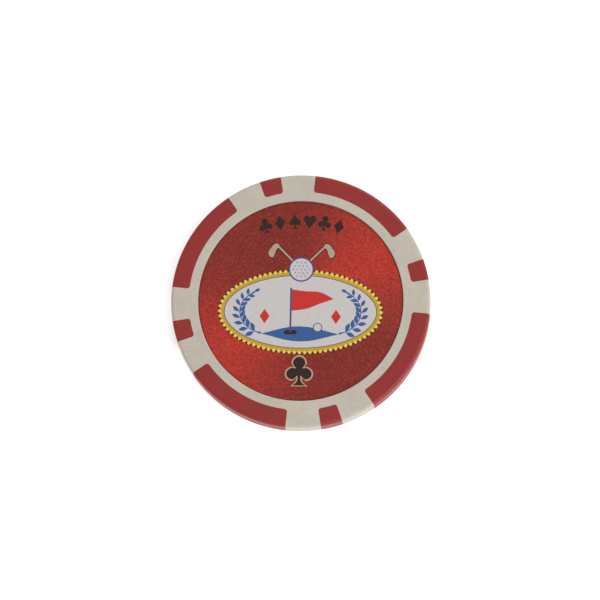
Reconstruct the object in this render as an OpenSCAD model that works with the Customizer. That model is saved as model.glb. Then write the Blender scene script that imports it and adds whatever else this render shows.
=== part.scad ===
// Round golf ball marker, made as a poker-style chip: a steel slug inside two plastic mouldings, with a
// label on each face. The chip lies on its back face. The origin is the centre of that face, +Z comes out
// of the front label, and +Y points to the top of the label's artwork. Sizes are in millimetres, and
// angles in degrees.

/* [Chip] */
// Outside diameter
chip_d = 40; // [39:0.5:43]
// Thickness over the rim
chip_h = 3.3; // [3.2:0.05:3.6]
// Rounding of the rim's two outer edges
edge_round = 0.5; // [0.3:0.05:0.8]

/* [Label recess] */
// Diameter of the sunken floor on each face
recess_d = 31.6; // [29:0.1:31.8]
// Depth of that floor below the rim
recess_depth = 0.45; // [0.35:0.05:0.5]
// Rounding of the recess's upper edge
lip_round = 0.12; // [0.05:0.01:0.2]

/* [Edge spots] */
// Distance from the chip's axis to the spots' inner ends
spot_start_r = 17.25; // [17.1:0.05:18]
// Angle that a long spot covers
long_spot_span = 49; // [40:0.5:54]
// Angle that a short spot covers
short_spot_span = 9.6; // [8:0.1:14]
// Rounding of a spot's two inner corners
spot_corner_round = 0.45; // [0.2:0.05:0.6]
// Angle of the first short spot, anticlockwise from +X
short_spot_angle = 15; // [0:1:89]
// How many spots there are of each length
spots_of_a_kind = 4; // [3:1:4]

/* [Core moulding] */
// How far the core's edge runs under the rim moulding
core_under_rim = 0.5; // [0.3:0.05:0.8]
// Thickness of the ribs that carry the spots
rib_h = 1.2; // [0.8:0.1:1.4]
// How much narrower than its spot a rib is, on each side, in degrees
rib_inset_angle = 1.6; // [1:0.1:2.5]
// Diameter of the holes left by the pins that held the slug in the mould
pin_hole_d = 1.5; // [1:0.1:2]
// Distance from the chip's axis to those holes
pin_circle_r = 9; // [6:0.5:10.5]
// How many pins each mould half has
pin_count = 4; // [3:1:6]
// Diameter of the well round the moulding gate
gate_well_d = 3; // [2:0.5:3.5]
// Depth of that well
gate_well_depth = 0.2; // [0.1:0.05:0.3]

/* [Steel slug] */
// Diameter
slug_d = 28; // [24:0.5:29]
// Thickness
slug_h = 1.5; // [1:0.1:1.5]
// Diameter of the hole that the first moulding flows through
slug_hole_d = 4; // [3:0.5:6]
// Chamfer that stamping leaves on the slug's edges
slug_chamfer = 0.12; // [0.05:0.01:0.2]

/* [Label] */
// Gap between the edge of every layer and the recess wall
label_gap = 0.15; // [0.1:0.05:0.3]
// Thickness of the adhesive
adhesive_h = 0.04; // [0.02:0.01:0.05]
// Thickness of the printed metallised film
foil_h = 0.08; // [0.05:0.01:0.1]
// Thickness of the clear cover film
laminate_h = 0.05; // [0.03:0.01:0.06]

/* [Hidden] */
$fn = 180;

cream = [0.76, 0.73, 0.68];
spot_red = [0.57, 0.22, 0.21];
foil_red = [0.62, 0.22, 0.18];
steel = [0.62, 0.63, 0.65];
clear = [0.95, 0.95, 0.95, 0.3];
glue = [0.92, 0.9, 0.82];

chip_r = chip_d / 2;
recess_r = recess_d / 2;
label_r = recess_r - label_gap;
core_r = recess_r + core_under_rim;
mid_h = chip_h / 2;
core_h = chip_h - 2 * recess_depth;
spot_pitch = 360 / spots_of_a_kind;
long_spot_angle = short_spot_angle + spot_pitch / 2;
// The corner's circle touches both the spot's inner arc and its side.
corner_centre_r = spot_start_r + spot_corner_round;
corner_turn = asin(spot_corner_round / corner_centre_r);
// Past every edge that a cut has to clear, so that no cut ends on a face.
clear_by = 1;

// Part of a ring between two radii, centred on +X.
module sector(inner_r, outer_r, span) {
    far = 2 * outer_r;
    intersection() {
        difference() {
            circle(r = outer_r);
            circle(r = inner_r);
        }
        polygon([
            [0, 0],
            [far * cos(span / 2), -far * sin(span / 2)],
            [far * cos(span / 2), far * sin(span / 2)]
        ]);
    }
}

// Outline of one edge spot, seen from above, running out past the chip's edge.
module spot_outline(span) {
    past_edge = chip_r + clear_by;
    sector(corner_centre_r * cos(corner_turn), past_edge, span);
    sector(spot_start_r, past_edge, span - 2 * corner_turn);
    for (side = [-1, 1])
        rotate(side * (span / 2 - corner_turn))
            translate([corner_centre_r, 0])
                circle(r = spot_corner_round);
}

// Turned copies of the first child where the long spots are, and of the second where the short ones are.
module each_spot() {
    for (i = [0 : spots_of_a_kind - 1]) {
        rotate(long_spot_angle + i * spot_pitch) children(0);
        rotate(short_spot_angle + i * spot_pitch) children(1);
    }
}

module spots_from_above() {
    each_spot() {
        spot_outline(long_spot_span);
        spot_outline(short_spot_span);
    }
}

// The ribs inside the rim that join the spots to the core.
module ribs() {
    reach_in = core_r - clear_by;
    reach_out = spot_start_r + clear_by;
    translate([0, 0, mid_h - rib_h / 2])
        linear_extrude(rib_h)
            each_spot() {
                sector(reach_in, reach_out, long_spot_span - 2 * rib_inset_angle);
                sector(reach_in, reach_out, short_spot_span - 2 * rib_inset_angle);
            }
}

// Half section of the chip's outer ring, from the recess wall to the rounded edge.
module ring_section() {
    outer_start = chip_r - 2 * edge_round;
    translate([recess_r + lip_round, 0])
        square([outer_start + edge_round - recess_r - lip_round, chip_h]);
    translate([recess_r, lip_round])
        square([outer_start - recess_r, chip_h - 2 * lip_round]);
    translate([outer_start, edge_round])
        square([2 * edge_round, chip_h - 2 * edge_round]);
    for (z = [lip_round, chip_h - lip_round])
        translate([recess_r + lip_round, z])
            circle(r = lip_round);
    for (z = [edge_round, chip_h - edge_round])
        translate([chip_r - edge_round, z])
            circle(r = edge_round);
}

// The stamped slug, from a size that the cavity round it shares.
module slug_solid() {
    slug_r = slug_d / 2;
    translate([0, 0, mid_h - slug_h / 2])
        rotate_extrude()
            polygon([
                [slug_hole_d / 2, 0],
                [slug_r - slug_chamfer, 0],
                [slug_r, slug_chamfer],
                [slug_r, slug_h - slug_chamfer],
                [slug_r - slug_chamfer, slug_h],
                [slug_hole_d / 2, slug_h]
            ]);
}

// Holes in both recess floors, down to the slug.
module pin_holes() {
    wall = (core_h - slug_h) / 2;
    for (i = [0 : pin_count - 1])
        rotate(i * 360 / pin_count)
            for (z = [recess_depth - clear_by, mid_h + slug_h / 2])
                translate([pin_circle_r, 0, z])
                    cylinder(d = pin_hole_d, h = wall + clear_by);
}

module gate_well() {
    translate([0, 0, chip_h - recess_depth - gate_well_depth])
        cylinder(d = gate_well_d, h = gate_well_depth + clear_by);
}

// Solid steel disc that gives the chip its weight.
module steel_slug() {
    color(steel) slug_solid();
}

// First moulding: the disc round the slug, with the ribs and the edge spots.
module core_moulding() {
    color(spot_red)
        difference() {
            union() {
                translate([0, 0, recess_depth]) cylinder(r = core_r, h = core_h);
                ribs();
                intersection() {
                    rotate_extrude() ring_section();
                    linear_extrude(chip_h) spots_from_above();
                }
            }
            slug_solid();
            pin_holes();
            gate_well();
        }
}

// Second moulding: it fills the ring between the spots and grips the core's edge.
module rim_moulding() {
    color(cream)
        difference() {
            rotate_extrude()
                difference() {
                    ring_section();
                    translate([0, recess_depth]) square([core_r, core_h]);
                }
            translate([0, 0, -clear_by])
                linear_extrude(chip_h + 2 * clear_by) spots_from_above();
            ribs();
        }
}

// One round layer of the front label, or of the back one, which lies the other way up.
module label_layer(front, start, thickness) {
    z = front
        ? chip_h - recess_depth + start
        : recess_depth - start - thickness;
    translate([0, 0, z]) cylinder(r = label_r, h = thickness);
}

module adhesive(front) {
    color(glue) label_layer(front, 0, adhesive_h);
}

module foil(front) {
    color(foil_red) label_layer(front, adhesive_h, foil_h);
}

module laminate(front) {
    color(clear) label_layer(front, adhesive_h + foil_h, laminate_h);
}

steel_slug();
core_moulding();
rim_moulding();
adhesive(true);  // front_adhesive
foil(true);  // front_foil
laminate(true);  // front_laminate
adhesive(false);  // back_adhesive
foil(false);  // back_foil
laminate(false);  // back_laminate
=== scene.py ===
"""Golf ball marker in the form of a two-colour chip: mouldings, foil labels, printed artwork and stage."""

import math

import bmesh
import bpy
from bpy.props import FloatProperty, FloatVectorProperty, IntProperty, PointerProperty
from mathutils import Matrix, Vector


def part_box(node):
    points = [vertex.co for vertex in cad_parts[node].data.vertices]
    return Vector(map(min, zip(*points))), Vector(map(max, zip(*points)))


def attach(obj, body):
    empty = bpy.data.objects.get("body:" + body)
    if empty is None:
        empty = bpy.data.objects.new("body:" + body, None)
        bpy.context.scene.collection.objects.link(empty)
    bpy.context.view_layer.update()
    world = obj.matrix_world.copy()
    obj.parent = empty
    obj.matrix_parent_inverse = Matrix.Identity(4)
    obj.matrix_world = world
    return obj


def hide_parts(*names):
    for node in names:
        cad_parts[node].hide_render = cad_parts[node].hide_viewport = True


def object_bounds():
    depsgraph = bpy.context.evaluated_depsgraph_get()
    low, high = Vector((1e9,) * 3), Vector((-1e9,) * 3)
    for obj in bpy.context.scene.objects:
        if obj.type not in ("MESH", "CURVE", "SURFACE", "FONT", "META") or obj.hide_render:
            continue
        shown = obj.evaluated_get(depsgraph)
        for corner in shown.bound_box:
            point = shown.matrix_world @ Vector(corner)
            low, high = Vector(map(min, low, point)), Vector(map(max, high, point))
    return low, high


bl_info = {
    "name": "Chip Ball Marker",
    "version": (1, 0, 0),
    "blender": (4, 5, 0),
    "location": "View3D > Sidebar > Ball Marker",
    "description": "Builds a chip-style golf ball marker round its CAD frame",
    "category": "Add Mesh",
}

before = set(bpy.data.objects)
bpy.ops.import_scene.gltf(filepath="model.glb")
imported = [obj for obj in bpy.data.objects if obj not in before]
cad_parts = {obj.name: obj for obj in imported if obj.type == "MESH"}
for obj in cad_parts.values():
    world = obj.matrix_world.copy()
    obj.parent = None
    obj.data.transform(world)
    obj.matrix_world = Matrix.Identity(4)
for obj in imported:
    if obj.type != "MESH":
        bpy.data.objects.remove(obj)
CAD_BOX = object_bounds()

MM = 0.001
ROOT = "root"
CENTRE = Vector((0, 0, 0))
UP = Vector((0, 0, 1))

CHIP_R = CAD_BOX[1].x
CHIP_H = CAD_BOX[1].z
FLOOR_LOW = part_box("back_adhesive")[1].z
FLOOR_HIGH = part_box("front_adhesive")[0].z
LABEL_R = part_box("front_laminate")[1].x
LABEL_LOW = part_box("front_foil")[0].z
LABEL_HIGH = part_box("front_laminate")[1].z

# Points of one section or outline that are nearer than this are the same point.
MERGE = 0.0002 * MM
# Widest facet round the axis. It is just wider than the margin beside a rib, which has to stay one facet.
FACET_ANGLE = math.radians(1.7)
# Edges sharper than this are creases, and the rest are shaded as one smooth surface.
CREASE_ANGLE = math.radians(32)
# Edges sharper than this are the ones that a bevel rounds.
CORNER_ANGLE = math.radians(60)
# Distance from a rounding, or from the parting line, to the points that keep the flat beside it flat.
HOLD = 0.1 * MM
WALL_HOLD = 0.05 * MM
# Facets across the chip's edge rounding, the recess's lip, a spot's corner and the label's die rounding.
EDGE_STEPS = 8
LIP_STEPS = 4
CORNER_STEPS = 6
DIE_STEPS = 3
# Room that the artwork has above the printed face, counted in layers of ink.
INK_ROOM = 5
# Each label's side, and whether it lies the other way up.
SIDES = {"front": False, "back": True}
# Distance from the lights to the chip, and half the floor's width.
LIGHT_DISTANCE = 0.9
FLOOR_REACH = 3.0


def length(name, default_mm, description):
    """A size that the user can change, shown in the scene's units."""
    return FloatProperty(name=name, description=description, default=default_mm * MM, min=0, unit="LENGTH")


def turn(name, default_degrees, description):
    """An angle that the user can change."""
    return FloatProperty(
        name=name, description=description, default=math.radians(default_degrees), subtype="ANGLE"
    )


def colour(name, default, description):
    """A colour that the user can change, in linear light."""
    return FloatVectorProperty(
        name=name, description=description, default=default, min=0, max=1, size=3, subtype="COLOR"
    )


def strength(name, default, description):
    """A light's strength that the user can change."""
    return FloatProperty(name=name, description=description, default=default)


class MouldingSettings(bpy.types.PropertyGroup):
    """Sizes of the two plastic mouldings."""

    edge_round: length("Edge Rounding", 0.5, "Radius of the chip's two outer edges")
    lip_round: length("Lip Rounding", 0.12, "Radius of the label recess's upper edge")
    label_gap: length("Label Gap", 0.15, "Gap between the label and the recess wall")
    core_under_rim: length("Core Under Rim", 0.5, "How far the core's edge runs under the rim")
    spot_start: length("Spot Start", 17.25, "Distance from the axis to the edge spots' inner ends")
    spot_corner: length("Spot Corner", 0.45, "Radius of an edge spot's inner corners")
    long_span: turn("Long Spot", 49, "Angle that a long edge spot covers")
    short_span: turn("Short Spot", 9.6, "Angle that a short edge spot covers")
    first_spot: turn("First Spot", 15, "Direction of the first short spot, from +X")
    pairs: IntProperty(name="Spot Pairs", description="Edge spots of each length", default=4, min=1, max=6)
    rib_height: length("Rib Height", 1.2, "Thickness of the ribs that join the spots to the core")
    rib_inset: turn("Rib Inset", 1.6, "How much narrower than its spot a rib is, on each side")
    seam_bevel: length("Seam Bevel", 0.035, "Break of the edges where the two plastics meet")
    parting_line: length("Parting Line", 0.015, "Depth of the mould's parting line round the wall")
    slug_hole: length("Slug Hole", 2, "Radius of the hole that the plastic flows through")
    slug_chamfer: length("Slug Chamfer", 0.12, "Chamfer on the steel slug's edges")
    well_r: length("Gate Well Radius", 1.5, "Radius of the well round the moulding gate")
    well_depth: length("Gate Well Depth", 0.2, "Depth of that well")


class LabelSettings(bpy.types.PropertyGroup):
    """Sizes and colours of the foil labels."""

    ink_h: length("Ink Thickness", 0.006, "Thickness of one layer of ink")
    die_round: length("Die Rounding", 0.02, "Rounding that the die leaves on the label's edge")
    grain: length("Foil Grain", 0.16, "Width of one grain of the foil's glitter")
    # Painted sheen: the foil's base colour is painted lighter along this direction and its opposite, and
    # darker across it. This stands in for the foil's reflection of the lights.
    painted_sheen: turn("Foil Sweep", 33, "Direction of the foil's brightest sweep, from +X")
    foil_painted_shade: colour("Foil Shade", (0.268, 0.024, 0.0165), "Foil across the sweep")
    foil_painted_sheen: colour("Foil Light", (0.512, 0.033, 0.0185), "Foil along the sweep")
    # Painted glints: the brightest grains are painted this colour, in place of light glinting off the foil.
    painted_glint: colour("Foil Sparks", (0.60, 0.11, 0.035), "The few brightest grains of the foil")


class ArtworkSettings(bpy.types.PropertyGroup):
    """Sizes and colours of the printed artwork, which is measured from the label's centre."""

    plaque_long: length("Plaque Length", 25.4, "Length of the oval plaque")
    plaque_tall: length("Plaque Height", 13.4, "Height of the oval plaque")
    plaque_drop: length("Plaque Drop", 1.75, "How far the plaque's centre is below the label's centre")
    key_line: length("Key Line", 0.12, "Width of the line between the plaque's border and its field")
    border: length("Border", 0.9, "Width of the plaque's gold border")
    beads: IntProperty(name="Beads", description="Beads along the gold border", default=76, min=12)
    bead_r: length("Bead Radius", 0.27, "Radius of one bead")
    crest_r: length("Crest Radius", 1.95, "Radius of the golf ball at the plaque's top")
    pip_h: length("Pip Height", 2.35, "Height of one suit pip in the arc")
    pip_pitch: length("Pip Pitch", 2.3, "Distance from one pip to the next")
    arc_r: length("Arc Radius", 21, "Radius of the arc that the pips stand on")
    arc_top: length("Arc Height", 12.6, "Height of the arc above the label's centre")
    foot_h: length("Foot Mark Height", 4.5, "Height of the mark below the plaque")
    foot_drop: length("Foot Mark Drop", 11.1, "How far that mark is below the label's centre")
    white: colour("White Ink", (0.57, 0.54, 0.525), "Plaque and golf ball")
    cream: colour("Cream Ink", (0.45, 0.32, 0.225), "Golf clubs and the foot mark's outline")
    gold: colour("Gold Ink", (0.54, 0.33, 0.014), "Plaque's border")
    bright_gold: colour("Bright Gold Ink", (0.76, 0.55, 0.12), "Beads on the border")
    dark: colour("Dark Ink", (0.030, 0.011, 0.008), "Pips, foot mark and the gaps between the beads")
    violet: colour("Violet Ink", (0.085, 0.065, 0.21), "Key line and the golf ball's outline")
    pale_violet: colour("Pale Violet Ink", (0.36, 0.34, 0.46), "Dimples of the golf ball")
    blue: colour("Blue Ink", (0.035, 0.105, 0.30), "Laurels and ground")
    red: colour("Red Ink", (0.55, 0.028, 0.024), "Flag and diamonds")


class PlasticSettings(bpy.types.PropertyGroup):
    """Colours of the plastics and metals."""

    rim: colour("Rim", (0.532, 0.476, 0.409), "Second moulding")
    spots: colour("Edge Spots", (0.277, 0.0182, 0.0165), "First moulding")
    steel: colour("Steel", (0.50, 0.50, 0.51), "Slug")
    glue: colour("Adhesive", (0.70, 0.66, 0.52), "Label adhesive")


class StageSettings(bpy.types.PropertyGroup):
    """The camera, the light and the floor."""

    tilt: turn("Camera Tilt", 13.6, "How far the camera leans off straight above")
    heading: turn("Camera Heading", 12, "How far the camera is turned from the artwork's foot towards +X")
    roll: turn("Camera Roll", 1.3, "Turn of the camera round its own line of sight")
    view_width: length("View Width", 92.3, "Width of the picture at the chip's top face")
    aim: FloatVectorProperty(
        name="Camera Aim",
        description="Where the camera looks, from the centre of the chip's face",
        default=(-0.08 * MM, 0.03 * MM),
        size=2,
        unit="LENGTH",
    )
    distance: length("Camera Distance", 650, "Distance from the camera to the chip")
    floor: colour("Floor", (0.93, 0.93, 0.93), "Floor")
    glow: strength("Floor Glow", 0.50, "How brightly the floor is lit from below")
    sky: strength("Sky", 0.48, "Strength of the even light from all round")
    key: strength("Key Light", 5.0, "Power of the soft light in front, in watts")
    back: strength("Back Light", 1.9, "Power of the soft light behind, in watts")


# ---------------------------------------------------------------- sections and meshes


def arc(centre, radius, start, end, steps):
    """Points along part of a circle, from start to end in degrees, both ends included."""
    angles = [math.radians(start + (end - start) * i / steps) for i in range(steps + 1)]
    return [(centre[0] + radius * math.cos(a), centre[1] + radius * math.sin(a)) for a in angles]


def spin_outline(bm, outline, start, span, closed=True):
    """Spins an outline of (distance from the axis, height) points round the chip's axis."""
    verts = [bm.verts.new((r, 0, z)) for r, z in outline]
    edges = [bm.edges.new(pair) for pair in zip(verts, verts[1:])]
    if closed:
        edges.append(bm.edges.new((verts[-1], verts[0])))
    bmesh.ops.rotate(bm, verts=verts, cent=CENTRE, matrix=Matrix.Rotation(start, 3, "Z"))
    bmesh.ops.spin(
        bm,
        geom=verts + edges,
        cent=CENTRE,
        axis=UP,
        angle=span,
        steps=math.ceil(span / FACET_ANGLE),
        use_merge=math.isclose(span, math.tau),
    )


def bevel_edges(bm, edges, offset, segments):
    """Bevels edges with the defaults that the editor has."""
    bmesh.ops.bevel(
        bm, geom=edges, affect="EDGES", offset=offset, segments=segments, profile=0.5, material=-1
    )


def close_shell(bm):
    """Merges doubles, fills what is open and turns every face outwards."""
    bmesh.ops.remove_doubles(bm, verts=bm.verts, dist=MERGE)
    bmesh.ops.holes_fill(bm, edges=[e for e in bm.edges if e.is_boundary], sides=0)
    bmesh.ops.recalc_face_normals(bm, faces=bm.faces)


def make_piece(name, bm, materials):
    """Turns a bmesh into a smooth-shaded piece that rides on the chip."""
    mesh = bpy.data.meshes.new(name)
    bm.to_mesh(mesh)
    bm.free()
    mesh.shade_smooth()
    mesh.set_sharp_from_angle(angle=CREASE_ANGLE)
    for material in materials:
        mesh.materials.append(material)
    piece = bpy.data.objects.new(name, mesh)
    bpy.context.scene.collection.objects.link(piece)
    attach(piece, ROOT)
    return piece


# ---------------------------------------------------------------- mouldings


class ChipSection:
    """Half sections of the chip's ring, and where they stand round the axis."""

    def __init__(self, moulding):
        self.moulding = moulding
        self.recess_r = LABEL_R + moulding.label_gap
        self.core_r = self.recess_r + moulding.core_under_rim
        self.start_r = moulding.spot_start
        self.rib_low = (CHIP_H - moulding.rib_height) / 2
        self.rib_high = CHIP_H - self.rib_low

    def outer_path(self):
        """From the foot of a spot's inner wall, under, round and over the chip's edge to the wall's top."""
        edge = self.moulding.edge_round
        line = self.moulding.parting_line
        middle = CHIP_H / 2
        inside = self.start_r + self.moulding.spot_corner + HOLD
        outside = CHIP_R - edge
        low_round = arc((outside, edge), edge, -90, 0, EDGE_STEPS)
        high_round = arc((outside, CHIP_H - edge), edge, 0, 90, EDGE_STEPS)
        wall = [
            (CHIP_R, edge + WALL_HOLD),
            (CHIP_R, middle - 2 * line - WALL_HOLD),
            (CHIP_R, middle - 2 * line),
            (CHIP_R - line, middle),
            (CHIP_R, middle + 2 * line),
            (CHIP_R, middle + 2 * line + WALL_HOLD),
            (CHIP_R, CHIP_H - edge - WALL_HOLD),
        ]
        return [
            (self.start_r, 0),
            (inside, 0),
            (outside - HOLD, 0),
            *low_round,
            *wall,
            *high_round,
            (outside - HOLD, CHIP_H),
            (inside, CHIP_H),
            (self.start_r, CHIP_H),
        ]

    def wall_path(self):
        """Up a spot's inner wall, with points where the rib crosses it."""
        return [(self.start_r, z) for z in (0, self.rib_low, self.rib_high, CHIP_H)]

    def inner_path(self):
        """From the rim's top in over the lip, round the groove that holds the core, and out underneath."""
        lip = self.moulding.lip_round
        lip_r = self.recess_r + lip
        return [
            (lip_r + HOLD, CHIP_H),
            *arc((lip_r, CHIP_H - lip), lip, 90, 180, LIP_STEPS),
            (self.recess_r, FLOOR_HIGH),
            (self.core_r, FLOOR_HIGH),
            (self.core_r, self.rib_high),
            (self.core_r, self.rib_low),
            (self.core_r, FLOOR_LOW),
            (self.recess_r, FLOOR_LOW),
            *arc((lip_r, lip), lip, 180, 270, LIP_STEPS),
            (lip_r + HOLD, 0),
        ]

    def spots(self):
        """Each edge spot as (start, span) round the axis."""
        pitch = math.tau / self.moulding.pairs
        for i in range(self.moulding.pairs):
            for offset, span in ((0, self.moulding.short_span), (pitch / 2, self.moulding.long_span)):
                yield self.moulding.first_spot + i * pitch + offset - span / 2, span

    def spot_stretches(self):
        """Each spot's two margins and the rib between them, as (start, span)."""
        inset = self.moulding.rib_inset
        for (start, span), rib in zip(self.spots(), self.rib_stretches()):
            yield start, inset
            yield rib
            yield start + span - inset, inset

    def gap_stretches(self):
        """The stretches between the spots, as (start, span)."""
        spots = list(self.spots())
        for i, (start, span) in enumerate(spots):
            after = spots[(i + 1) % len(spots)][0] + (math.tau if i + 1 == len(spots) else 0)
            yield start + span, after - start - span

    def rib_stretches(self):
        """Where the ribs stand, as (start, span)."""
        inset = self.moulding.rib_inset
        for start, span in self.spots():
            yield start + inset, span - 2 * inset

    def finish_spot_edges(self, bm):
        """Rounds the upright inner corners of every spot, then breaks the edges along the seam."""
        on_wall = [
            e
            for e in bm.edges
            if e.calc_face_angle(0) > CORNER_ANGLE
            and abs(e.verts[0].co.z - e.verts[1].co.z) > MERGE
            and all(abs(v.co.xy.length - self.start_r) < MERGE for v in e.verts)
        ]
        bevel_edges(bm, on_wall, self.moulding.spot_corner, CORNER_STEPS)
        inside_wall = self.start_r - 0.01 * MM
        seam = [
            e
            for e in bm.edges
            if e.calc_face_angle(0) > CORNER_ANGLE and all(v.co.xy.length > inside_wall for v in e.verts)
        ]
        bevel_edges(bm, seam, self.moulding.seam_bevel, 1)

    def bridge_ribs(self, bm):
        """Opens the core wall and the spot wall where each rib crosses them, and joins the openings."""
        reach = 0.05 * MM
        for start, span in self.rib_stretches():
            turn_back = Matrix.Rotation(-start - span / 2, 3, "Z")
            window = []
            for face in bm.faces:
                middle = turn_back @ face.calc_center_median()
                off_wall = min(abs(middle.xy.length - r) for r in (self.core_r, self.start_r))
                in_rib = abs(math.atan2(middle.y, middle.x)) < span / 2
                if off_wall < reach and in_rib and self.rib_low < middle.z < self.rib_high:
                    window.append(face)
            inside = set(window)
            edges = [e for e in bm.edges if sum(f in inside for f in e.link_faces) == 1]
            bmesh.ops.delete(bm, geom=window, context="FACES")
            bmesh.ops.bridge_loops(bm, edges=edges)


def build_rim(moulding):
    """The cream ring with a notch for every spot, its lips over the core and a tunnel for every rib."""
    section = ChipSection(moulding)
    bm = bmesh.new()
    for start, span in section.gap_stretches():
        spin_outline(bm, section.outer_path() + section.inner_path(), start, span)
    for start, span in section.spot_stretches():
        spin_outline(bm, section.wall_path() + section.inner_path(), start, span)
    close_shell(bm)
    section.finish_spot_edges(bm)
    section.bridge_ribs(bm)
    close_shell(bm)
    return bm


def build_core(moulding):
    """The red disc round the slug's cavity, with its gate well, ribs and edge spots."""
    section = ChipSection(moulding)
    bm = bmesh.new()
    spot = section.outer_path() + section.wall_path()[-2:0:-1]
    for start, span in section.spot_stretches():
        spin_outline(bm, spot, start, span)
    close_shell(bm)
    section.finish_spot_edges(bm)
    well_floor = FLOOR_HIGH - moulding.well_depth
    disc = [
        (0, FLOOR_LOW),
        (section.core_r, FLOOR_LOW),
        (section.core_r, section.rib_low),
        (section.core_r, section.rib_high),
        (section.core_r, FLOOR_HIGH),
        (moulding.well_r, FLOOR_HIGH),
        (moulding.well_r, well_floor),
        (0, well_floor),
    ]
    for start, span in [*section.gap_stretches(), *section.spot_stretches()]:
        spin_outline(bm, disc, start, span, closed=False)
    bmesh.ops.remove_doubles(bm, verts=bm.verts, dist=MERGE)
    section.bridge_ribs(bm)
    close_shell(bm)
    cut_slug_cavity(bm, moulding)
    return bm


def cut_slug_cavity(bm, moulding):
    """Adds the walls of the hollow that the steel slug fills, facing into it."""
    low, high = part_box("steel_slug")
    chamfer = moulding.slug_chamfer
    outline = [
        (moulding.slug_hole, low.z),
        (high.x - chamfer, low.z),
        (high.x, low.z + chamfer),
        (high.x, high.z - chamfer),
        (high.x - chamfer, high.z),
        (moulding.slug_hole, high.z),
    ]
    solid = set(bm.faces)
    spin_outline(bm, outline, 0, math.tau)
    walls = [f for f in bm.faces if f not in solid]
    bmesh.ops.remove_doubles(bm, verts=list({v for f in walls for v in f.verts}), dist=MERGE)
    bmesh.ops.recalc_face_normals(bm, faces=walls)
    bmesh.ops.reverse_faces(bm, faces=walls)


# ---------------------------------------------------------------- labels and artwork


def turn_over(bm):
    """Turns a front label or its artwork over on to the back face."""
    over = Matrix.Translation((0, 0, CHIP_H)) @ Matrix.Rotation(math.pi, 4, "Y")
    bmesh.ops.transform(bm, matrix=over, verts=bm.verts)


def print_height(label):
    """Height of the printed face, which leaves room for the layers of ink under the film's surface."""
    return LABEL_HIGH - INK_ROOM * label.ink_h


def build_label(label):
    """One die-cut disc of printed foil with its clear film."""
    top = print_height(label)
    rounding = label.die_round
    margin = 0.15 * MM
    middle_r = 0.6 * LABEL_R
    outline = [
        (0, LABEL_LOW),
        (LABEL_R, LABEL_LOW),
        *arc((LABEL_R - rounding, top - rounding), rounding, 0, 90, DIE_STEPS),
        (LABEL_R - margin, top),
        (middle_r, top),
        (0, top),
    ]
    bm = bmesh.new()
    spin_outline(bm, outline, 0, math.tau, closed=False)
    close_shell(bm)
    return bm


# Outlines of the flat artwork, one unit high, as (x, y, smooth) knots. The suits and the leaf give only
# their right half.
SPADE = [
    (0, 0.5, False), (0.16, 0.22, True), (0.38, -0.08, True), (0.23, -0.27, True), (0.045, -0.17, False),
    (0.07, -0.36, True), (0.2, -0.5, False),
]
CLUB = [
    (0, 0.5, True), (0.21, 0.3, True), (0.1, 0.09, False), (0.28, 0.1, True), (0.43, -0.1, True),
    (0.26, -0.29, True), (0.045, -0.15, False), (0.07, -0.36, True), (0.22, -0.5, False),
]
HEART = [(0, 0.27, False), (0.21, 0.42, True), (0.4, 0.2, True), (0.22, -0.15, True), (0, -0.5, False)]
DIAMOND = [(0, 0.5, False), (0.33, 0, False), (0, -0.5, False)]
ARC_PIPS = [CLUB, DIAMOND, SPADE, HEART, CLUB, DIAMOND]
LEAF = [(0, 0.5, False), (0.21, 0.05, True), (0, -0.5, False)]
# A golf iron that stands on its grip, with its head to the right.
IRON = [
    (-0.019, -0.5, False), (0.019, -0.5, False), (0.019, 0.33, False), (0.06, 0.345, False),
    (0.23, 0.262, False), (0.268, 0.30, True), (0.245, 0.40, True), (0.19, 0.43, False),
    (-0.012, 0.43, True), (-0.03, 0.38, True), (-0.019, 0.33, False),
]
# These are in millimetres from the plaque's centre.
PENNANT = [
    (-1.35, 3.5, False), (0.7, 3.25, True), (3.0, 3.1, True), (5.1, 2.05, False), (3.1, 1.35, True),
    (0.8, 0.45, True), (-1.35, 0.15, False),
]
POLE = [(-1.62, 3.75, False), (-1.35, 3.75, False), (-1.35, -3.25, False), (-1.62, -3.25, False)]
GROUND = [(-6.0, -3.5, False), (-0.2, -2.3, True), (6.0, -3.5, False), (0, -4.7, True)]
CUP = [(-2.5, -3.25, True), (-1.49, -2.9, True), (-0.48, -3.25, True), (-1.49, -3.6, True)]


def whole(half):
    """Both halves of an outline that is the same on its left and right."""
    left = [(-x, y, smooth) for x, y, smooth in reversed(half) if x > 0]
    return half + left


def fattened(knots, by):
    """A clockwise outline moved outwards all round, for ink that shows as an edge behind another print."""
    sharpest = 0.5
    points = [Vector(knot[:2]) for knot in knots]
    moved = []
    for i, point in enumerate(points):
        before = (point - points[i - 1]).orthogonal().normalized()
        after = (points[(i + 1) % len(points)] - point).orthogonal().normalized()
        outwards = (before + after).normalized()
        reach = by / max(outwards.dot(before), sharpest)
        moved.append((*(point + outwards * reach), knots[i][2]))
    return moved


def draw_outline(bm, knots, matrix):
    """Fills a closed Bezier outline, puts it in place and returns its faces."""
    curve = bpy.data.curves.new("outline", "CURVE")
    curve.dimensions = "2D"
    curve.fill_mode = "BOTH"
    curve.resolution_u = 5
    spline = curve.splines.new("BEZIER")
    spline.bezier_points.add(len(knots) - 1)
    spline.use_cyclic_u = True
    for knot, (x, y, smooth) in zip(spline.bezier_points, knots):
        knot.co = (x, y, 0)
        knot.handle_left_type = knot.handle_right_type = "AUTO" if smooth else "VECTOR"
    drawing = bpy.data.objects.new("outline", curve)
    mesh = bpy.data.meshes.new_from_object(drawing)
    mesh.transform(matrix)
    before = set(bm.faces)
    bm.from_mesh(mesh)
    bpy.data.objects.remove(drawing)
    bpy.data.curves.remove(curve)
    bpy.data.meshes.remove(mesh)
    return [f for f in bm.faces if f not in before]


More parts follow.
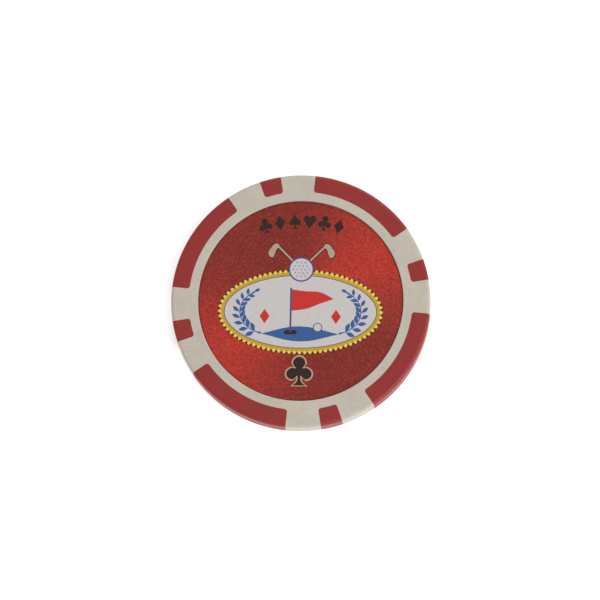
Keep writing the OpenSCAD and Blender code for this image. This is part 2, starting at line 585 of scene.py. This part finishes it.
def draw_disc(bm, centre, radius, segments):
    """A flat disc. Returns its face."""
    made = bmesh.ops.create_circle(
        bm, cap_ends=True, segments=segments, radius=radius, matrix=Matrix.Translation((*centre, 0))
    )
    return made["verts"][0].link_faces[0]


class Press:
    """Prints flat shapes as thin solid layers of ink on one label."""

    def __init__(self, label, inks):
        self.bm = bmesh.new()
        self.base = print_height(label)
        self.ink_h = label.ink_h
        self.inks = list(inks)
        self.prints = 0

    def dip(self, faces, ink):
        """Gives faces their ink."""
        for face in faces:
            face.material_index = self.inks.index(ink)

    def stamp(self, faces, layer):
        """Makes flat faces a thin slab that is sunk a little into the foil and rises to its layer's height.

        Layers are counted from 1, and no two neighbouring prints of a layer end at quite the same height.
        """
        self.prints += 1
        stagger = 0.12 * (self.prints % 7)
        top = self.base + (layer + stagger) * self.ink_h
        sunk = 0.5 * self.ink_h
        verts = list({v for f in faces for v in f.verts})
        bmesh.ops.translate(self.bm, verts=verts, vec=(0, 0, top))
        made = bmesh.ops.extrude_face_region(self.bm, geom=faces, use_keep_orig=True)["geom"]
        foot = [v for v in made if isinstance(v, bmesh.types.BMVert)]
        bmesh.ops.translate(self.bm, verts=foot, vec=(0, 0, self.base - sunk - top))

    def outline(self, knots, ink, layer, matrix):
        """Prints one filled outline."""
        faces = draw_outline(self.bm, knots, matrix)
        self.dip(faces, ink)
        self.stamp(faces, layer)

    def disc(self, centre, radius, ink, layer, segments=32):
        """Prints one filled disc."""
        face = draw_disc(self.bm, centre, radius, segments)
        self.dip([face], ink)
        self.stamp([face], layer)

    def banded(self, region, bands, field_ink, layer):
        """Prints a shape as bands of (width, ink) that follow its edge inwards, round a plain field."""
        faces = []
        for width, ink in bands:
            ring = bmesh.ops.inset_region(
                self.bm, faces=region, thickness=width, use_even_offset=True, use_boundary=True
            )["faces"]
            self.dip(ring, ink)
            faces += ring
        self.dip(region, field_ink)
        self.stamp(faces + region, layer)


def oval_points(long_r, tall_r, count):
    """Points evenly spaced round an oval."""
    fine = 40 * count
    trace = [
        Vector((long_r * math.cos(math.tau * i / fine), tall_r * math.sin(math.tau * i / fine)))
        for i in range(fine + 1)
    ]
    steps = [(b - a).length for a, b in zip(trace, trace[1:])]
    pitch = sum(steps) / count
    travelled = 0.0
    for point, step in zip(trace, steps):
        if travelled >= 0:
            yield point
            travelled -= pitch
        travelled += step


def print_plaque(press, art):
    """The white oval plaque with its gold border, the beads along it and the gaps between them."""
    centre = Vector((0, -art.plaque_drop))
    long_r = art.plaque_long / 2
    tall_r = art.plaque_tall / 2
    face = draw_disc(press.bm, (0, 0), 1, segments=120)
    bmesh.ops.scale(press.bm, verts=face.verts, vec=(long_r, tall_r, 1))
    bmesh.ops.translate(press.bm, verts=face.verts, vec=centre.to_3d())
    gap = 1.2 * art.bead_r
    bands = [(gap, "dark"), (art.border - gap, "gold"), (art.key_line, "violet")]
    press.banded([face], bands, "white", 1)
    for point in oval_points(long_r - art.bead_r, tall_r - art.bead_r, art.beads):
        press.disc(centre + point, art.bead_r, "bright_gold", 2, segments=10)


def print_laurel(press, place, side):
    """One laurel sprig that curves up from the ground's end, with leaves in pairs and one at its tip."""
    centre_x, reach, rise, width = 5.1, 4.3, 3.55, 0.15
    pairs, first_leaf, leaf_pitch, leaf_lean = 8, -64, 15.5, 46
    first_size, taper, off_stem = 1.6, 0.06, 0.52
    sprig = place @ Matrix.Diagonal((side, 1, 1, 1)) @ Matrix.Translation((centre_x, 0, 0))
    turns = [math.radians(a) for a in range(-78, 63, 10)]
    outer = [(reach * math.cos(a), rise * math.sin(a), True) for a in turns]
    inner = [((reach - width) * math.cos(a), (rise - width) * math.sin(a), True) for a in reversed(turns)]
    press.outline(outer + inner, "blue", 2, sprig)
    for i in range(pairs + 1):
        along = math.radians(first_leaf + leaf_pitch * i)
        foot = Vector((reach * math.cos(along), rise * math.sin(along), 0))
        heading = math.atan2(rise * math.cos(along), -reach * math.sin(along)) - math.pi / 2
        size = first_size - taper * i
        for lean in (-leaf_lean, leaf_lean) if i < pairs else (0,):
            leaf = Matrix.Rotation(heading + math.radians(lean), 4, "Z")
            middle = Matrix.Translation(foot + leaf @ Vector((0, off_stem * size, 0)))
            press.outline(whole(LEAF), "blue", 2, sprig @ middle @ leaf @ Matrix.Scale(size, 4))


def print_scene(press, art):
    """The flag on its green, with the ball on its way, between two laurel sprigs."""
    diamond_h, diamond_x, diamond_y = 2.3, 5.5, -0.75
    ball_r, ball_line = 0.72 * MM, 0.13 * MM
    ball_centre = (2.7 * MM, -art.plaque_drop - 2.45 * MM)
    place = Matrix.Translation((0, -art.plaque_drop, 0)) @ Matrix.Scale(MM, 4)
    print_laurel(press, place, 1)
    print_laurel(press, place, -1)
    press.outline(GROUND, "blue", 2, place)
    press.outline(CUP, "dark", 3, place)
    press.outline(POLE, "violet", 3, place)
    press.outline(PENNANT, "red", 3, place)
    for x in (-diamond_x, diamond_x):
        diamond = Matrix.Translation((x, diamond_y, 0)) @ Matrix.Scale(diamond_h, 4)
        press.outline(whole(DIAMOND), "red", 2, place @ diamond)
    ball = draw_disc(press.bm, ball_centre, ball_r, segments=32)
    press.banded([ball], [(ball_line, "violet")], "white", 3)


def print_crest(press, art):
    """The dimpled golf ball at the plaque's top, in front of two crossed irons."""
    iron_h, iron_lean, iron_rise, iron_edge = 7.6 * MM, 0.78, 2.4 * MM, 0.016
    ball_line, dimple_r, pitch, margin = 0.22 * MM, 0.17 * MM, 0.62 * MM, 0.45 * MM
    centre = Vector((0, art.plaque_tall / 2 - art.plaque_drop, 0))
    for side in (-1, 1):
        mirror = Matrix.Translation(centre) @ Matrix.Diagonal((side, 1, 1, 1))
        lean = Matrix.Rotation(-iron_lean, 4, "Z") @ Matrix.Translation((0, iron_rise, 0))
        iron = mirror @ lean @ Matrix.Scale(iron_h, 4)
        press.outline(fattened(IRON[::-1], iron_edge), "dark", 1, iron)
        press.outline(IRON, "cream", 2, iron)
    ball = draw_disc(press.bm, centre.xy, art.crest_r, segments=48)
    press.banded([ball], [(ball_line, "violet")], "white", 3)
    for row in range(-3, 4):
        for column in range(-4, 5):
            dimple = Vector(((column + row % 2 / 2) * pitch, row * pitch * math.sqrt(3) / 2))
            if dimple.length < art.crest_r - margin:
                press.disc(centre.xy + dimple, dimple_r, "pale_violet", 4, segments=10)


def print_pips(press, art):
    """The arc of suit pips above the plaque, and the mark below it."""
    arc_centre = art.arc_top - art.arc_r
    foot_edge = 0.042
    for i, pip in enumerate(ARC_PIPS):
        lean = (i - (len(ARC_PIPS) - 1) / 2) * art.pip_pitch / art.arc_r
        place = (
            Matrix.Translation((0, arc_centre, 0))
            @ Matrix.Rotation(-lean, 4, "Z")
            @ Matrix.Translation((0, art.arc_r, 0))
            @ Matrix.Scale(art.pip_h, 4)
        )
        press.outline(whole(pip), "dark", 1, place)
    foot = Matrix.Translation((0, -art.foot_drop, 0)) @ Matrix.Scale(art.foot_h, 4)
    press.outline(fattened(whole(CLUB), foot_edge), "cream", 1, foot)
    press.outline(whole(CLUB), "dark", 2, foot)


INKS = ("white", "cream", "gold", "bright_gold", "dark", "violet", "pale_violet", "blue", "red")


def build_artwork(label, art):
    """All the ink of one label."""
    press = Press(label, INKS)
    print_plaque(press, art)
    print_scene(press, art)
    print_crest(press, art)
    print_pips(press, art)
    bmesh.ops.recalc_face_normals(press.bm, faces=press.bm.faces)
    return press.bm


# ---------------------------------------------------------------- materials


class Finish:
    """One material's node tree, with short calls for the nodes that the finishes share."""

    def __init__(self, name):
        self.material = bpy.data.materials.new(name)
        self.material.use_nodes = True
        self.tree = self.material.node_tree
        self.shader = self.tree.nodes["Principled BSDF"]
        self.place = self.add("ShaderNodeTexCoord").outputs["Object"]

    def add(self, kind, sockets=None, **settings):
        """Adds a node, sets its own settings, and gives its sockets a value or a link."""
        node = self.tree.nodes.new(kind)
        for key, value in settings.items():
            setattr(node, key, value)
        for key, value in (sockets or {}).items():
            if isinstance(value, bpy.types.NodeSocket):
                self.tree.links.new(value, node.inputs[key])
            else:
                node.inputs[key].default_value = value
        return node

    def maths(self, operation, a, b=0.0, c=0.0):
        """One calculation on numbers."""
        return self.add("ShaderNodeMath", {0: a, 1: b, 2: c}, operation=operation).outputs[0]

    def vector(self, operation, a, b=(0, 0, 0), c=(0, 0, 0)):
        """One calculation on vectors."""
        return self.add("ShaderNodeVectorMath", {0: a, 1: b, 2: c}, operation=operation).outputs["Vector"]

    def noise(self, size, detail=2.0):
        """Noise whose features are about this size in metres, from 0 to 1."""
        sockets = {"Vector": self.place, "Scale": 1 / size, "Detail": detail}
        return self.add("ShaderNodeTexNoise", sockets).outputs["Fac"]

    def cells(self, size):
        """Random cells of about this width in metres."""
        return self.add("ShaderNodeTexVoronoi", {"Vector": self.place, "Scale": 1 / size})

    def spread(self, value, low, high):
        """Stretches a value that runs from about 0.3 to 0.7 to run from low to high."""
        sockets = {"Value": value, "From Min": 0.3, "From Max": 0.7, "To Min": low, "To Max": high}
        return self.add("ShaderNodeMapRange", sockets).outputs["Result"]

    def mix(self, factor, a, b):
        """A mix of two colours."""
        return self.add("ShaderNodeMix", {0: factor, 6: a, 7: b}, data_type="RGBA").outputs[2]

    def scaled(self, base, value):
        """A colour times a number."""
        sockets = {0: base, "Scale": value}
        return self.add("ShaderNodeVectorMath", sockets, operation="SCALE").outputs["Vector"]

    def bump(self, height, depth):
        """A normal from a height that runs from 0 to 1 over this depth in metres."""
        sockets = {"Height": height, "Distance": depth, "Strength": 1.0}
        return self.add("ShaderNodeBump", sockets).outputs["Normal"]

    def set(self, **sockets):
        """Sets or links the shader's sockets, named with underscores for spaces."""
        for key, value in sockets.items():
            socket = self.shader.inputs[key.replace("_", " ")]
            if isinstance(value, bpy.types.NodeSocket):
                self.tree.links.new(value, socket)
            else:
                socket.default_value = value
        return self.material


def opaque(rgb, by=1.0):
    """A property's colour as a socket's, made lighter or darker."""
    return (*(min(1.0, channel * by) for channel in rgb), 1.0)


def moulded_plastic(name, rgb):
    """Satin plastic with uneven pigment, fine flecks and the mould's sparked texture."""
    finish = Finish(name)
    clouds = finish.noise(4.5 * MM, detail=3)
    flecks = finish.noise(0.35 * MM, detail=1)
    pigment = finish.mix(finish.spread(clouds, 0, 1), opaque(rgb, 0.965), opaque(rgb, 1.035))
    base = finish.scaled(pigment, finish.spread(flecks, 0.955, 1.045))
    grain = finish.noise(0.07 * MM)
    wear = finish.noise(1.2 * MM, detail=3)
    return finish.set(
        Base_Color=base,
        Roughness=finish.spread(wear, 0.40, 0.50),
        Normal=finish.bump(grain, 0.006 * MM),
        IOR=1.49,
    )


def painted_sheen_mask(finish, direction, sharpness):
    """Mask of the foil's painted sheen: how nearly each point lies along a direction through the axis, from
    0 to 1.
    """
    parts = finish.add("ShaderNodeSeparateXYZ", {0: finish.place})
    angle = finish.maths("ARCTAN2", parts.outputs["Y"], parts.outputs["X"])
    across = finish.maths("COSINE", finish.maths("SUBTRACT", angle, direction))
    return finish.maths("POWER", finish.maths("ABSOLUTE", across), sharpness)


def foil_with_painted_light(label):
    """Red metallised foil with a painted sheen to each side, painted glints on a few grains, and grains that
    each lean their own way.
    """
    finish = Finish("foil_with_painted_light")
    # Painted sheen: the base colour is lighter along one direction through the axis and darker across it.
    # This stands in for the foil's reflection of the lights.
    painted_sheen = painted_sheen_mask(finish, label.painted_sheen, sharpness=4.6)
    base = finish.mix(painted_sheen, opaque(label.foil_painted_shade), opaque(label.foil_painted_sheen))
    cells = finish.cells(label.grain)
    shade = finish.add("ShaderNodeSeparateColor", {0: cells.outputs["Color"]})
    grain_low, grain_range = 0.75, 0.5
    lit = finish.maths("MULTIPLY_ADD", shade.outputs[0], grain_range, grain_low)
    # Painted glints: grains above this share are painted a bright orange, which stands in for light glinting
    # off them. They are mixed over the grain and the painted sheen.
    painted_glint_from, painted_glint_strength = 0.94, 0.38
    painted_glint_mask = finish.maths("GREATER_THAN", shade.outputs[1], painted_glint_from)
    painted_glint_share = finish.maths("MULTIPLY", painted_glint_mask, painted_glint_strength)
    glitter = finish.mix(painted_glint_share, finish.scaled(base, lit), opaque(label.painted_glint))
    middle = (0.5, 0.5, 0.5)
    most_lean = (0.2, 0.2, 0.2)
    lean = finish.vector("SUBTRACT", cells.outputs["Color"], middle)
    facing = finish.add("ShaderNodeNewGeometry").outputs["Normal"]
    leaning = finish.vector("MULTIPLY_ADD", lean, most_lean, facing)
    round_axis = finish.vector("NORMALIZE", finish.vector("CROSS_PRODUCT", UP, finish.place))
    return finish.set(
        Base_Color=glitter,
        Metallic=0.55,
        Roughness=0.46,
        Anisotropic=0.4,
        Tangent=round_axis,
        Normal=finish.vector("NORMALIZE", leaning),
        Coat_Weight=0.25,
        Coat_Roughness=0.32,
    )


def printed_ink(name, rgb, label):
    """Ink under clear film, with the foil's grain showing through a little."""
    finish = Finish(name + "_ink")
    cells = finish.cells(label.grain)
    shade = finish.add("ShaderNodeSeparateColor", {0: cells.outputs["Color"]}).outputs[0]
    blotches = finish.spread(finish.noise(0.5 * MM), 0.94, 1.0)
    grain_range = 0.07
    mottle = finish.maths("ADD", finish.maths("MULTIPLY", shade, grain_range), blotches)
    return finish.set(
        Base_Color=finish.scaled(tuple(rgb), mottle),
        Roughness=0.5,
        Specular_IOR_Level=0.2,
        Coat_Weight=0.25,
        Coat_Roughness=0.32,
    )


def stamped_steel(rgb):
    """Rolled steel with a fine directional grain and a thin film of oil in patches."""
    finish = Finish("stamped_steel")
    squeeze = (40, 1, 1)
    lines = 260.0
    along = finish.add("ShaderNodeMapping", {"Vector": finish.place, "Scale": squeeze}).outputs["Vector"]
    grain = finish.add("ShaderNodeTexNoise", {"Vector": along, "Scale": lines, "Detail": 4.0}).outputs["Fac"]
    oil = finish.noise(5 * MM, detail=4)
    return finish.set(
        Base_Color=finish.mix(finish.spread(oil, 0, 1), opaque(rgb, 0.88), opaque(rgb, 1.05)),
        Metallic=1.0,
        Roughness=finish.spread(grain, 0.28, 0.44),
        Normal=finish.bump(grain, 0.004 * MM),
    )


def label_glue(rgb):
    """Milky acrylic adhesive with small trapped bubbles."""
    finish = Finish("label_glue")
    bubbles = finish.cells(0.9 * MM).outputs["Distance"]
    bubble_r = 0.18
    rim = finish.maths("LESS_THAN", bubbles, bubble_r)
    return finish.set(
        Base_Color=finish.mix(rim, opaque(rgb), opaque(rgb, 1.12)),
        Roughness=finish.spread(finish.noise(0.6 * MM), 0.3, 0.5),
    )


def studio_floor(stage):
    """The pale matte top of a light table."""
    finish = Finish("studio_floor")
    fibres = finish.noise(0.8 * MM, detail=3)
    return finish.set(
        Base_Color=finish.mix(finish.spread(fibres, 0, 1), opaque(stage.floor, 0.995), opaque(stage.floor)),
        Roughness=0.9,
        Specular_IOR_Level=0.1,
        Emission_Color=(1, 1, 1, 1),
        Emission_Strength=stage.glow,
    )


def paint_node(node, material):
    """Gives a CAD node its material."""
    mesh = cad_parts[node].data
    mesh.materials.clear()
    mesh.materials.append(material)


# ---------------------------------------------------------------- operators


class BALLMARKER_OT_rim(bpy.types.Operator):
    """Builds the cream rim moulding"""

    bl_idname = "ball_marker.rim"
    bl_label = "Rim Moulding"

    def execute(self, context):
        scene = context.scene
        material = moulded_plastic("cream_plastic", scene.marker_plastic.rim)
        piece = make_piece("cream_rim", build_rim(scene.marker_moulding), [material])
        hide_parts("rim_moulding")
        return {"FINISHED"}


class BALLMARKER_OT_core(bpy.types.Operator):
    """Builds the red core moulding with its edge spots"""

    bl_idname = "ball_marker.core"
    bl_label = "Core Moulding"

    def execute(self, context):
        scene = context.scene
        material = moulded_plastic("red_plastic", scene.marker_plastic.spots)
        piece = make_piece("red_core", build_core(scene.marker_moulding), [material])
        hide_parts("core_moulding")
        return {"FINISHED"}


class BALLMARKER_OT_labels(bpy.types.Operator):
    """Builds the foil label on each face"""

    bl_idname = "ball_marker.labels"
    bl_label = "Foil Labels"

    def execute(self, context):
        label = context.scene.marker_label
        foil = foil_with_painted_light(label)
        for side, over in SIDES.items():
            bm = build_label(label)
            if over:
                turn_over(bm)
            piece = make_piece(side + "_label", bm, [foil])
            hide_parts(side + "_foil", side + "_laminate")
        return {"FINISHED"}


class BALLMARKER_OT_artwork(bpy.types.Operator):
    """Prints the artwork on each label"""

    bl_idname = "ball_marker.artwork"
    bl_label = "Printed Artwork"

    def execute(self, context):
        label = context.scene.marker_label
        art = context.scene.marker_artwork
        inks = [printed_ink(ink, getattr(art, ink), label) for ink in INKS]
        for side, over in SIDES.items():
            bm = build_artwork(label, art)
            if over:
                turn_over(bm)
            make_piece(side + "_artwork", bm, inks)
        return {"FINISHED"}


class BALLMARKER_OT_hidden(bpy.types.Operator):
    """Gives the steel slug and the adhesive their finish"""

    bl_idname = "ball_marker.hidden"
    bl_label = "Slug and Adhesive"

    def execute(self, context):
        plastic = context.scene.marker_plastic
        paint_node("steel_slug", stamped_steel(plastic.steel))
        glue = label_glue(plastic.glue)
        for side in SIDES:
            paint_node(side + "_adhesive", glue)
        return {"FINISHED"}


class BALLMARKER_OT_stage(bpy.types.Operator):
    """Sets up the floor, the lights and the camera"""

    bl_idname = "ball_marker.stage"
    bl_label = "Stage"

    def execute(self, context):
        stage = context.scene.marker_stage
        make_floor(stage)
        make_world(stage)
        target = Vector((0, 0, CHIP_H))
        make_light("key_light", stage.key, target, size=0.65, tilt=43, heading=-38)
        make_light("back_light", stage.back, target, size=0.45, tilt=60, heading=70)
        make_camera(stage, target + Vector((*stage.aim, 0)))
        context.scene.view_settings.view_transform = "Standard"
        return {"FINISHED"}


def direction_of(tilt, heading):
    """Unit vector that leans off straight up, towards a heading measured from +X."""
    return Vector((math.sin(tilt) * math.cos(heading), math.sin(tilt) * math.sin(heading), math.cos(tilt)))


def make_floor(stage):
    """A wide flat sheet under the chip."""
    bm = bmesh.new()
    bmesh.ops.create_grid(bm, x_segments=8, y_segments=8, size=FLOOR_REACH)
    mesh = bpy.data.meshes.new("studio_floor")
    bm.to_mesh(mesh)
    bm.free()
    mesh.materials.append(studio_floor(stage))
    floor = bpy.data.objects.new("studio_floor", mesh)
    bpy.context.scene.collection.objects.link(floor)


def make_world(stage):
    """Even pale light from all round."""
    world = bpy.data.worlds.new("studio_sky")
    world.use_nodes = True
    sky = world.node_tree.nodes["Background"]
    sky.inputs["Color"].default_value = (1.0, 0.995, 0.985, 1.0)
    sky.inputs["Strength"].default_value = stage.sky
    bpy.context.scene.world = world


def make_light(name, power, target, size, tilt, heading):
    """A square soft light that looks at the chip, from a tilt and a heading in degrees."""
    data = bpy.data.lights.new(name, "AREA")
    data.energy = power
    data.size = size
    light = bpy.data.objects.new(name, data)
    away = direction_of(math.radians(tilt), math.radians(heading))
    light.location = target + away * LIGHT_DISTANCE
    light.rotation_euler = away.to_track_quat("Z", "Y").to_euler()
    bpy.context.scene.collection.objects.link(light)


def make_camera(stage, target):
    """A long lens above the chip's face, so that its circles stay nearly true."""
    data = bpy.data.cameras.new("camera")
    data.lens = data.sensor_width * stage.distance / stage.view_width
    data.clip_start = 0.01
    data.clip_end = 10
    camera = bpy.data.objects.new("camera", data)
    back = direction_of(stage.tilt, stage.heading - math.pi / 2)
    right = Vector((0, 1, 0)).cross(back).normalized()
    turned = Matrix((right, back.cross(right), back)).transposed()
    camera.rotation_euler = (turned @ Matrix.Rotation(stage.roll, 3, "Z")).to_euler()
    camera.location = target + back * stage.distance
    bpy.context.scene.collection.objects.link(camera)
    bpy.context.scene.camera = camera


OPERATORS = (
    BALLMARKER_OT_stage,
    BALLMARKER_OT_rim,
    BALLMARKER_OT_core,
    BALLMARKER_OT_labels,
    BALLMARKER_OT_artwork,
    BALLMARKER_OT_hidden,
)


class BALLMARKER_PT_panel(bpy.types.Panel):
    """Lists the steps that build the ball marker"""

    bl_idname = "BALLMARKER_PT_panel"
    bl_label = "Ball Marker"
    bl_space_type = "VIEW_3D"
    bl_region_type = "UI"
    bl_category = "Ball Marker"

    def draw(self, context):
        for operator in OPERATORS:
            self.layout.operator(operator.bl_idname)


SETTINGS = {
    "marker_moulding": MouldingSettings,
    "marker_label": LabelSettings,
    "marker_artwork": ArtworkSettings,
    "marker_plastic": PlasticSettings,
    "marker_stage": StageSettings,
}
CLASSES = (*SETTINGS.values(), *OPERATORS, BALLMARKER_PT_panel)


def register():
    """Adds the classes, and the settings to every scene."""
    for cls in CLASSES:
        bpy.utils.register_class(cls)
    for name, group in SETTINGS.items():
        setattr(bpy.types.Scene, name, PointerProperty(type=group))


def unregister():
    """Takes them away again."""
    for name in SETTINGS:
        delattr(bpy.types.Scene, name)
    for cls in reversed(CLASSES):
        bpy.utils.unregister_class(cls)


def main():
    """Builds the whole scene."""
    register()
    bpy.ops.ball_marker.stage()
    bpy.ops.ball_marker.rim()
    bpy.ops.ball_marker.core()
    bpy.ops.ball_marker.labels()
    bpy.ops.ball_marker.artwork()
    bpy.ops.ball_marker.hidden()


if __name__ == "__main__":
    main()
